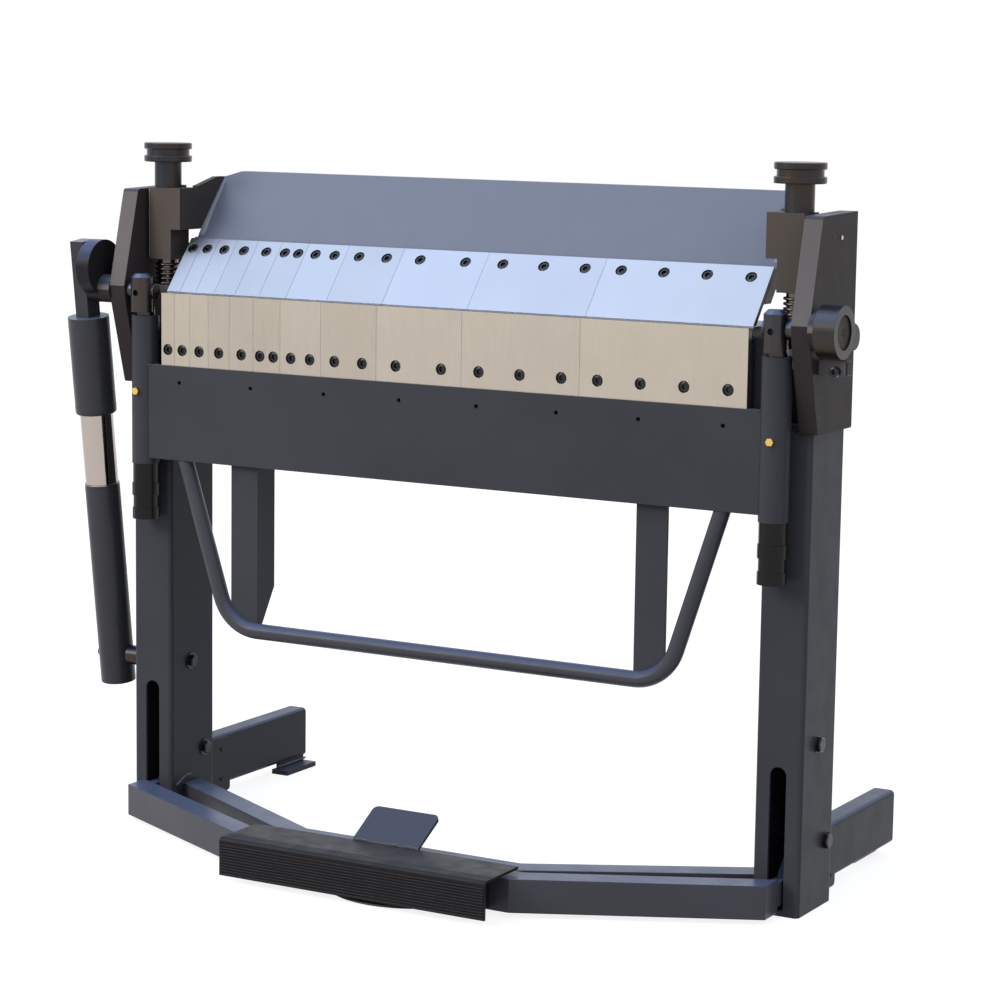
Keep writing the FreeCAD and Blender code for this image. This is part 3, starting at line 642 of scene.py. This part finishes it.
# screw places along one blade, from its left end; a narrow blade has one in its middle
screwPlaces = {
    50: [12.5, 37.5], 75: [20, 55], 100: [25, 75], 150: [35, 115], 200: [30, 100, 170], 270: [30, 100, 170, 240],
}
bladeScrews = {
    "screw": {"Radius": 8.0, "Height": 3.6, "Key": 4.5, "Key depth": 3.2},
    "upperNose": (-3.0, 862.0), "upperRun": (67.8, 81.5), "upperPlace": 0.81, "upperSink": 5.0,
    "frontFace": -17.7, "frontHeight": 770.5, "frontSink": 6.0,
}


def placeBladeScrews(look):
    run = Vector((0, look["upperRun"][0], look["upperRun"][1]))
    outward = Vector((0, -run.z, run.y)).normalized()
    top = Vector((0, look["upperNose"][0], look["upperNose"][1])) + run * look["upperPlace"]
    top -= outward * look["upperSink"]
    y = look["frontFace"] + look["frontSink"]
    upper, front = [], []
    left = -sum(bladeWidths) / 2
    for width in bladeWidths:
        for place in screwPlaces.get(width, [width / 2]):
            upper.append((spot(left + place, top.y, top.z), outward))
            front.append((spot(left + place, y, look["frontHeight"]), Vector((0, -1, 0))))
        left += width
    sizes = treeInputs(look["screw"], "screwOxide")
    grow("upperBladeScrews", upper, trees["socket"], sizes, "upper_beam")
    grow("foldBladeScrews", front, trees["socket"], sizes, "folding_beam")


placeBladeScrews(bladeScrews)
print("blade screws placed")


legBolts = {
    "head": {"Radius": 12.5, "Height": 8.0, "Washer": 12.3, "Washer height": 0.6},
    "nut": {"Radius": 10.0, "Height": 6.5, "Washer": 14.0, "Washer height": 2.0},
    "inner": 520.5, "outer": 594.5, "places": [(77.0, 250.0), (115.0, 98.0)],
}


def placeLegBolts(look):
    heads, nuts = [], []
    for side in (-1, 1):
        for y, z in look["places"]:
            nuts.append((spot(side * look["inner"], y, z), Vector((-side, 0, 0))))
            heads.append((spot(side * look["outer"], y, z), Vector((side, 0, 0))))
    grow("legBoltHeads", heads, trees["hex"], treeInputs(look["head"], "screwOxide"), "frame")
    grow("legBoltNuts", nuts, trees["hex"], treeInputs(look["nut"], "screwOxide"), "frame")


placeLegBolts(legBolts)

brassPlugs = {
    "plug": {"Radius": 6.4, "Height": 4.5, "Washer": 5.6, "Washer height": 1.2}, "x": 552.0, "y": -27.0, "z": 702.0,
}


def placeBrassPlugs(look):
    points = [(spot(side * look["x"], look["y"], look["z"]), Vector((0, -1, 0))) for side in (-1, 1)]
    grow("brassPlugs", points, trees["hex"], treeInputs(look["plug"], "brass"), "folding_beam")


placeBrassPlugs(brassPlugs)
print("leg bolts and brass plugs placed")


treadRibs = {
    "left": -229.0, "right": 229.0, "front": -260.2, "back": -232.0, "top": 68.1, "bottom": 13.0, "nose": 6.0,
    "clear": 1.0, "pitchFront": 4.4, "pitchTop": 6.5, "radiusFront": 1.5, "radiusTop": 0.8, "sinkTop": 0.5,
}


def placeTreadRibs(look):
    middle = (look["left"] + look["right"]) / 2
    front, top = [], []
    z = look["bottom"]
    while z < look["top"] - look["nose"] - look["clear"]:
        front.append((spot(middle, look["front"], z), Vector((0, -1, 0))))
        z += look["pitchFront"]
    y = look["front"] + look["nose"] + look["clear"]
    while y < look["back"]:
        top.append((spot(middle, y, look["top"] - look["sinkTop"]), Vector((0, 0, 1))))
        y += look["pitchTop"]
    for place, points in (("Front", front), ("Top", top)):
        sizes = {"Radius": look["radius" + place], "Length": look["right"] - look["left"]}
        values = treeInputs(sizes, "treadRubber", Flatten=1.0)
        grow("tread" + place + "Ribs", points, trees["rib"], values, "treadle")


placeTreadRibs(treadRibs)
print("tread ribs placed")


welds = {
    "width": {"frame": 3.4, "folding_beam": 2.4, "upper_beam": 2.2, "treadle": 2.4}, "pitch": 2.2, "rise": 0.8,
    "frame": [
        [(520.5, 38, 50), (520.5, 50, 56), (520.5, 62, 60), (520.5, 76, 60)],
        [(533.8, 360, 13), (533.8, 440, 13)], [(577.3, 90, 795), (577.3, 136, 795)],
    ],
    "folding_beam": [
        [(333, -12.5, 595), (383, -12.5, 595)], [(463, -14, 594), (480, -14, 594)],
        [(339, -2, 345.5), (371, -2, 345.5)], [(529.5, -19, 744), (545, -19.4, 745.6)],
    ],
    "upper_beam": [[(567.5, 84, 960), (567.5, 84, 1018)]],
    "treadle": [
        [(-48, -160, 70), (-28, -160, 70)], [(10, -160, 70), (24, -160, 70)], [(36, -160, 70), (52, -160, 70)],
    ],
}
weldFinish = {
    "frame": "weldPaint", "folding_beam": "slatePaint", "upper_beam": "blockPaint", "treadle": "weldPaint",
}


def placeWelds(look):
    for body, paint in weldFinish.items():
        sides = (1,) if body == "treadle" else (-1, 1)  # the others are the same left and right
        points, lines = [], []
        for run in look[body]:
            for side in sides:
                start = len(points)
                for x, y, z in run:
                    points.append((spot(side * x, y, z), Vector((0, 0, 1))))
                lines += [(start + k, start + k + 1) for k in range(len(run) - 1)]
        values = treeInputs({"Width": look["width"][body], "Pitch": look["pitch"]}, paint, Rise=look["rise"])
        grow(body.replace("_beam", "") + "Welds", points, trees["weld"], values, body, lines)


placeWelds(welds)
print("weld beads laid")


# Mesh pieces turned and cut in code

def plainMesh(name, mesh, material, angle=0.6):
    # turns a bmesh into a plain mesh with its finish
    data = bpy.data.meshes.new(name)
    mesh.to_mesh(data)
    mesh.free()
    data.materials.append(material)
    smoothEdges(data, angle)
    return data


turnedSides = 64


def turned(name, profile, centre, axis, material, body):
    # spins a profile of (distance along the axis, radius) round an axis, in millimetres
    axis = Vector(axis).normalized()
    side = axis.orthogonal().normalized()
    other = axis.cross(side)
    mesh = bmesh.new()
    rings = []
    for along, radius in profile:
        base = spot(*centre) + axis * along / 1000
        if radius <= 0:
            rings.append([mesh.verts.new(base)])
            continue
        ring = []
        for k in range(turnedSides):
            turn = 2 * math.pi * k / turnedSides
            ring.append(mesh.verts.new(base + (side * math.cos(turn) + other * math.sin(turn)) * radius / 1000))
        rings.append(ring)
    for low, high in zip(rings[:-1], rings[1:]):
        for k in range(turnedSides):
            n = k + 1
            corners = []
            for v in (low[k % len(low)], low[n % len(low)], high[n % len(high)], high[k % len(high)]):
                if v not in corners:
                    corners.append(v)
            if len(corners) > 2:
                mesh.faces.new(corners)
    bmesh.ops.recalc_face_normals(mesh, faces=mesh.faces)
    settle(name, plainMesh(name, mesh, material), body)


stopLook = {
    "recess": (648.05, -5.0, 861.0), "bolt": (632.5, 12.0, 804.0),
    "face": [(0, 0), (0, 24.5), (0.35, 24.2), (0.45, 21.5), (0.30, 6), (0.05, 5), (-0.3, 0)],
    "screw": {"Radius": 7.5, "Height": 8.0, "Key": 3.8, "Key depth": 5.0},
}


def makeStopDetails(look):
    steel = finish["shaftSteel"]
    turned("shaftFace", look["face"], look["recess"], (1, 0, 0), steel, "folding_beam")
    points = [(spot(*look["bolt"]), Vector((0, -1, 0)))]
    grow("stopBolt", points, trees["socket"], treeInputs(look["screw"], "screwOxide"), "frame")


makeStopDetails(stopLook)

gibLook = {
    "inner": 569.2, "outer": 571.2, "front": 33.5, "rear": 83.0, "bottom": 912.0, "top": 1021.0, "bevel": 0.3,
    "smooth": 0.7,
}


def makeGib(look):
    # the thin brass strip at the left end of the clamping beam
    outline = [(look["front"], look["bottom"]), (look["rear"], look["bottom"]), (look["rear"], look["top"]),
               (look["front"], look["top"])]
    mesh = bmesh.new()
    outer = [mesh.verts.new(spot(-look["outer"], y, z)) for y, z in outline]
    inner = [mesh.verts.new(spot(-look["inner"], y, z)) for y, z in outline]
    mesh.faces.new(outer[::-1])
    mesh.faces.new(inner)
    for k in range(len(outline)):
        n = (k + 1) % len(outline)
        mesh.faces.new((outer[k], outer[n], inner[n], inner[k]))
    bmesh.ops.recalc_face_normals(mesh, faces=mesh.faces)
    bmesh.ops.bevel(mesh, geom=mesh.edges[:], offset=look["bevel"] / 1000, segments=2, affect="EDGES")
    data = plainMesh("leftGib", mesh, finish["gibBrass"], look["smooth"])
    settle("leftGib", data, "upper_beam")


makeGib(gibLook)

filletLook = {
    "x": 510.3, "low": (81.0, 943.0), "high": (166.0, 1048.0), "from": 6.0, "to": 122.0, "wideLow": 12.0,
    "wideHigh": 5.0, "proud": 1.6, "steps": 14, "waver": 0.10, "waverRate": 9.0, "waverStart": 1.0,
    "endDrop": 0.8, "endPower": 8, "smooth": 0.9,
    "ring": [(0, -0.5), (0, 0.7), (0.35, 1.0), (0.75, 0.55), (1, -0.5)],  # shares of width and of height
}


def makeEndFillets(look):
    # the ground-back fillet where the beam's face plate meets each end cheek; its pale blue colour is a painted sky
    # reflection
    y0, z0 = look["low"]
    run = Vector((0, look["high"][0] - y0, look["high"][1] - z0)).normalized()
    outward = Vector((0, -run.z, run.y))
    count = len(look["ring"])
    for side, name in ((-1, "leftEndFillet"), (1, "rightEndFillet")):
        mesh = bmesh.new()
        rows = []
        for step in range(look["steps"] + 1):
            share = step / look["steps"]
            base = Vector((0, y0, z0)) + run * (look["from"] + (look["to"] - look["from"]) * share)
            wide = look["wideLow"] + (look["wideHigh"] - look["wideLow"]) * share
            wide *= 1 + look["waver"] * math.sin(look["waverRate"] * share + look["waverStart"])
            swell = look["proud"] * (1 - abs(2 * share - 1) ** look["endPower"] * look["endDrop"])
            row = []
            for across, rise in look["ring"]:
                point = base + outward * (swell * rise)
                row.append(mesh.verts.new(spot(side * (look["x"] - wide * across), point.y, point.z)))
            rows.append(row)
        for low, high in zip(rows[:-1], rows[1:]):
            for k in range(count):
                n = (k + 1) % count
                mesh.faces.new((low[k], low[n], high[n], high[k]))
        mesh.faces.new(rows[0])
        mesh.faces.new(rows[-1][::-1])
        bmesh.ops.recalc_face_normals(mesh, faces=mesh.faces)
        settle(name, plainMesh(name, mesh, finish["filletPaintSkySheen"], look["smooth"]), "upper_beam")


makeEndFillets(filletLook)
print("end fillets laid")

pinLook = {
    "end": 528.5, "y": -5.0, "z": 861.0,
    "rim": [(-0.4, 11.5), (0, 12.0), (0.5, 11.7), (0.5, 10.5), (0, 10.3), (-0.4, 11.5)],
}


def makePinRings(look):
    # the bright turned rim on the inner end of each pivot pin
    steel = finish["pinRimSteel"]
    for side, name in ((-1, "leftPinRim"), (1, "rightPinRim")):
        centre = (side * look["end"], look["y"], look["z"])
        turned(name, look["rim"], centre, (-side, 0, 0), steel, "folding_beam")


makePinRings(pinLook)

smallScrews = {
    "block": (532.0, 72.5, 1023.0), "blockScrew": {"Radius": 5.5, "Height": 3.5, "Key": 2.5, "Key depth": 3.0},
    "plate": (606.0, 80.0, 988.3), "plateScrew": {"Radius": 3.2, "Height": 1.6, "Key": 1.3, "Key depth": 1.2},
    "blind": (606.0, 52.0, 990.2), "blindPlug": {"Radius": 2.2, "Height": 0.4, "Key": 1.2, "Key depth": 0.3},
    "footHoles": {-1: [(180.0, 78.7), (180.5, 27.3)], 1: [(187.7, 74.1), (188.5, 24.0)]},
    "footFaces": (532.0, 574.0), "footHoleDisc": {"Radius": 3.4, "Height": 0.6, "Key": 2.0, "Key depth": 0.3},
}


def placeSmallScrews(look):
    tree = trees["socket"]
    x, y, z = look["block"]
    points = [(spot(side * x, y, z), Vector((0, 0, 1))) for side in (-1, 1)]
    grow("blockScrews", points, tree, treeInputs(look["blockScrew"], "blackOxide"), "upper_beam")
    points = [(spot(*look["plate"]), Vector((1, 0, 0)))]
    grow("plateScrew", points, tree, treeInputs(look["plateScrew"], "brightSteel"), "frame")
    points = [(spot(*look["blind"]), Vector((1, 0, 0)))]
    grow("platePlug", points, tree, treeInputs(look["blindPlug"], "blackOxide"), "frame")
    # near-black discs in the foot's holes stand for the shade inside them, painted shade
    holeDiscs = []
    for side in (-1, 1):
        for y, z in look["footHoles"][side]:
            for face, turn in zip(look["footFaces"], (-side, side)):
                holeDiscs.append((spot(side * face, y, z), Vector((turn, 0, 0))))
    grow("footHoleShades", holeDiscs, tree, treeInputs(look["footHoleDisc"], "holeShade"), "frame")


placeSmallScrews(smallScrews)
print("pin rims and small screws placed")

cylinderLook = {
    "x": -667.5, "low": (71.5, 248.0), "high": (-10.0, 894.0), "upperStart": 413.0,
    "lower": [(-46.9, 0), (-46.9, 27.2), (-46.5, 28.4), (-45.5, 28.55), (288.0, 28.55), (288.6, 28.25),
              (289.4, 28.25), (290.0, 28.55), (292.0, 28.2), (293.5, 27.2), (293.6, 26.95)],
    "upper": [(-2.5, 27.1), (-2.5, 31.6), (0, 33.2), (6, 33.6), (12, 33.6), (13, 33.45)],
}


def makeCylinderDetails(look):
    paint = finish["sleevePaint"]
    y, z = look["low"]
    axis = Vector((0, look["high"][0] - y, look["high"][1] - z)).normalized()
    turned("lowerSleeve", look["lower"], (look["x"], y, z), axis, paint, "balance_lower")
    start = axis * look["upperStart"]
    centre = (look["x"], y + start.y, z + start.z)
    turned("upperSleeveLip", look["upper"], centre, axis, paint, "balance_upper")


makeCylinderDetails(cylinderLook)
print("cylinder details made")


# Camera and light

cameraLook = {
    "place": (2.27748, -3.92888, 1.22213),  # metres, right and in front
    "turn": 29.29,  # degrees about the upright
    "dip": -8.33,
    "roll": 0.84,
    "lens": 106.57, "sensor": 36.0, "clipEnd": 60.0,
}


def makeCamera(look):
    data = bpy.data.cameras.new("camera")
    data.lens = look["lens"]
    data.sensor_width = look["sensor"]
    data.clip_end = look["clipEnd"]
    camera = bpy.data.objects.new("camera", data)
    bpy.context.scene.collection.objects.link(camera)
    turn = Euler((0, 0, math.radians(look["turn"]))).to_matrix()
    dip = Euler((math.radians(90 + look["dip"]), 0, 0)).to_matrix()
    roll = Euler((0, 0, math.radians(look["roll"]))).to_matrix()
    camera.matrix_world = Matrix.Translation(look["place"]) @ (turn @ dip @ roll).to_4x4()
    bpy.context.scene.camera = camera


lampAim = (0, 0, 0.6)
lampLook = {
    "sky": {"place": (-2.0, -1.7, 4.3), "size": 3.6, "power": 40.0, "tint": (0.72, 0.84, 1.0)},
    "key": {"place": (-2.7, -3.8, 2.9), "size": 2.4, "power": 95.0, "tint": (1.0, 0.95, 0.88)},
    "right": {"place": (3.0, -0.8, 3.4), "size": 2.0, "power": 8.0, "tint": (0.84, 0.91, 1.0)},
}


def makeLamps(look):
    for name, lamp in look.items():
        data = bpy.data.lights.new(name + "Lamp", "AREA")
        data.shape = "DISK"
        data.size = lamp["size"]
        data.energy = lamp["power"]
        data.color = lamp["tint"]
        thing = bpy.data.objects.new(name + "Lamp", data)
        bpy.context.scene.collection.objects.link(thing)
        thing.location = lamp["place"]
        aim = Vector(lampAim) - Vector(lamp["place"])
        thing.rotation_euler = aim.to_track_quat("-Z", "Y").to_euler()


def seenDirectly(tree):
    # 1 for camera, glossy and transmission rays, so the pale backdrop also shows in metal
    path = tree.nodes.new("ShaderNodeLightPath")
    total = path.outputs["Is Camera Ray"]
    for title in ("Is Glossy Ray", "Is Transmission Ray"):
        larger = tree.nodes.new("ShaderNodeMath")
        larger.operation = "MAXIMUM"
        tree.links.new(total, larger.inputs[0])
        tree.links.new(path.outputs[title], larger.inputs[1])
        total = larger.outputs[0]
    return total


worldLook = {
    "zenith": (0.84, 0.91, 1.0), "horizon": (0.60, 0.59, 0.58), "below": (0.20, 0.18, 0.16), "power": 0.80,
    "zenithFrom": 0.85, "horizonAt": 0.52, "belowTo": 0.40,  # 0 is straight down, 1 straight up
}


def makeWorld(look):
    world = bpy.data.worlds.new("studio")
    world.use_nodes = True
    tree = world.node_tree
    light = tree.nodes["Background"]
    light.inputs["Strength"].default_value = look["power"]
    coord = tree.nodes.new("ShaderNodeTexCoord")
    split = tree.nodes.new("ShaderNodeSeparateXYZ")
    ramp = tree.nodes.new("ShaderNodeValToRGB")
    half = tree.nodes.new("ShaderNodeMapRange")
    half.inputs["From Min"].default_value = -1.0
    tree.links.new(coord.outputs["Generated"], split.inputs[0])
    tree.links.new(split.outputs["Z"], half.inputs["Value"])
    tree.links.new(half.outputs["Result"], ramp.inputs["Fac"])
    tree.links.new(ramp.outputs["Color"], light.inputs["Color"])
    stops = ramp.color_ramp.elements
    stops[0].position = look["belowTo"]
    stops[0].color = look["below"] + (1.0,)
    stops[1].position = look["zenithFrom"]
    stops[1].color = look["zenith"] + (1.0,)
    middle = stops.new(look["horizonAt"])
    middle.color = look["horizon"] + (1.0,)
    white = tree.nodes.new("ShaderNodeBackground")
    mix = tree.nodes.new("ShaderNodeMixShader")
    tree.links.new(seenDirectly(tree), mix.inputs["Fac"])
    tree.links.new(light.outputs["Background"], mix.inputs[1])
    tree.links.new(white.outputs["Background"], mix.inputs[2])
    tree.links.new(mix.outputs["Shader"], tree.nodes["World Output"].inputs["Surface"])
    white.inputs["Color"].default_value = (1.0, 1.0, 1.0, 1.0)
    bpy.context.scene.world = world


floorLook = {"reach": 14.0, "shade": 0.32, "rough": 0.8, "glow": 0.85}


def makeFloor(look):
    mesh = bpy.data.meshes.new("floor")
    r = look["reach"]
    corners = [(-r, -r, 0), (r, -r, 0), (r, r, 0), (-r, r, 0)]
    mesh.from_pydata(corners, [], [(0, 1, 2, 3)])
    floor = bpy.data.objects.new("floor", mesh)
    bpy.context.scene.collection.objects.link(floor)
    material = bpy.data.materials.new("paleFloor")
    material.use_nodes = True
    tree = material.node_tree
    shader = tree.nodes["Principled BSDF"]
    shader.inputs["Base Color"].default_value = (look["shade"],) * 3 + (1,)
    shader.inputs["Roughness"].default_value = look["rough"]
    shader.inputs["Specular IOR Level"].default_value = 0.0
    glow = tree.nodes.new("ShaderNodeEmission")
    share = tree.nodes.new("ShaderNodeMath")
    share.operation = "MULTIPLY"
    share.inputs[1].default_value = look["glow"]
    tree.links.new(seenDirectly(tree), share.inputs[0])
    tree.links.new(share.outputs[0], glow.inputs["Strength"])
    both = tree.nodes.new("ShaderNodeAddShader")
    tree.links.new(shader.outputs["BSDF"], both.inputs[0])
    tree.links.new(glow.outputs["Emission"], both.inputs[1])
    tree.links.new(both.outputs["Shader"], tree.nodes["Material Output"].inputs["Surface"])
    mesh.materials.append(material)


makeCamera(cameraLook)
makeLamps(lampLook)
makeWorld(worldLook)
makeFloor(floorLook)
bpy.context.scene.view_settings.view_transform = "Standard"
print("camera, lamps and floor set")
